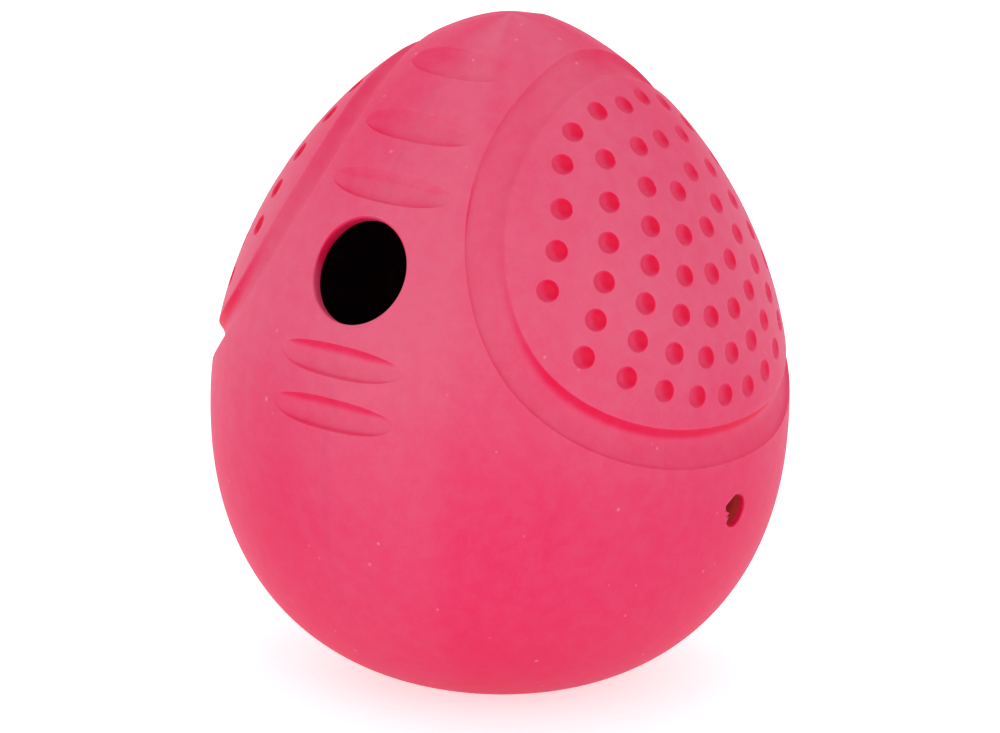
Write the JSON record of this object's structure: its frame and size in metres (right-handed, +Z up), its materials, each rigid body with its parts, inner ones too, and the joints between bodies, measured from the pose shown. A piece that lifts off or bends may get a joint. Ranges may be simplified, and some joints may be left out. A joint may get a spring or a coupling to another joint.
{
  "type": "treat egg",
  "caption": "Hollow roly-poly treat egg in moulded rubber, with a round treat hole, ringed and dimpled side panels, level front grooves and a weighted base.",
  "frame": {"origin": "middle of the flat foot that the egg rests on", "axes": "+Z up to the tip of the crown, -Y out of the side with the treat hole, +X out of the side with the small air hole"},
  "size_m": [0.094, 0.094, 0.11],
  "materials": {
    "rubber": "matt moulded pink natural rubber with a soft sheen",
    "weight": "plain grey cast slug, not seen"
  },
  "bodies": {
    "root": {"left_shell": "rubber", "right_shell": "rubber", "base_weight": "weight"}
  },
  "joints": []
}
